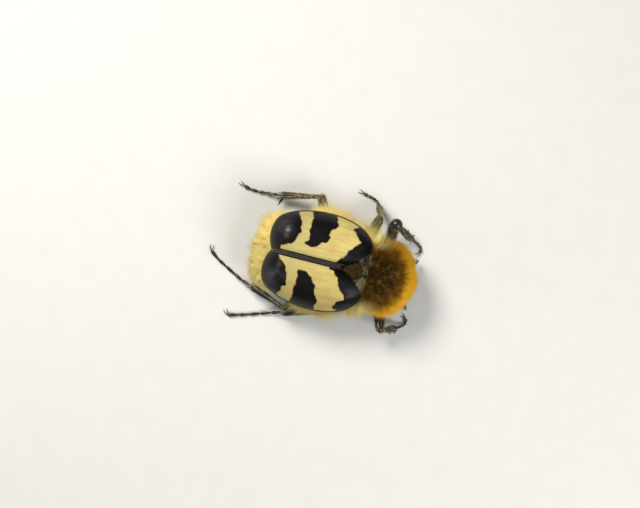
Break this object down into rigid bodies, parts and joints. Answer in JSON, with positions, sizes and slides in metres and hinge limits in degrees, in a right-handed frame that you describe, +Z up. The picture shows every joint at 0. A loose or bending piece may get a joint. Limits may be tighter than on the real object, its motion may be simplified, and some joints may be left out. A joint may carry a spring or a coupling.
{
  "type": "bee beetle",
  "caption": "Bee beetle as a still, life-size model: stout body with a furry neck shield, pale wing cases with dark bands, bent legs with clawed feet, small fan-ended feelers.",
  "frame": {"origin": "on the floor the beetle stands on, under the middle of the model's box", "axes": "+X towards the head, +Y to the beetle's left, +Z up from the floor"},
  "size_m": [0.0157, 0.0117, 0.0053],
  "materials": {
    "wing_cases": "smooth, pale cream with black bands, slightly shiny",
    "scutellum": "dull, downy",
    "shield_coat": "dense upright hair, dark in the middle and golden at the edge",
    "body_coat": "pale long hair over a black shell",
    "head": "black, finely pitted, haired",
    "eyes": "glossy, faceted",
    "feelers": "red-brown, satin",
    "legs": "black, finely pitted, haired",
    "feet": "red-black, shiny"
  },
  "bodies": {
    "root": {"elytron_left": "wing_cases", "elytron_right": "wing_cases", "scutellum": "scutellum", "pronotum": "shield_coat", "breast": "body_coat", "abdomen": "body_coat", "head": "head", "eye_left": "eyes", "eye_right": "eyes", "antenna_left": "feelers", "antenna_right": "feelers", "leg_front_left_femur": "legs", "leg_front_left_tibia": "legs", "leg_front_left_tarsus": "feet", "leg_front_right_femur": "legs", "leg_front_right_tibia": "legs", "leg_front_right_tarsus": "feet", "leg_middle_left_femur": "legs", "leg_middle_left_tibia": "legs", "leg_middle_left_tarsus": "feet", "leg_middle_right_femur": "legs", "leg_middle_right_tibia": "legs", "leg_middle_right_tarsus": "feet", "leg_hind_left_femur": "legs", "leg_hind_left_tibia": "legs", "leg_hind_left_tarsus": "feet", "leg_hind_right_femur": "legs", "leg_hind_right_tibia": "legs", "leg_hind_right_tarsus": "feet"}
  },
  "joints": []
}
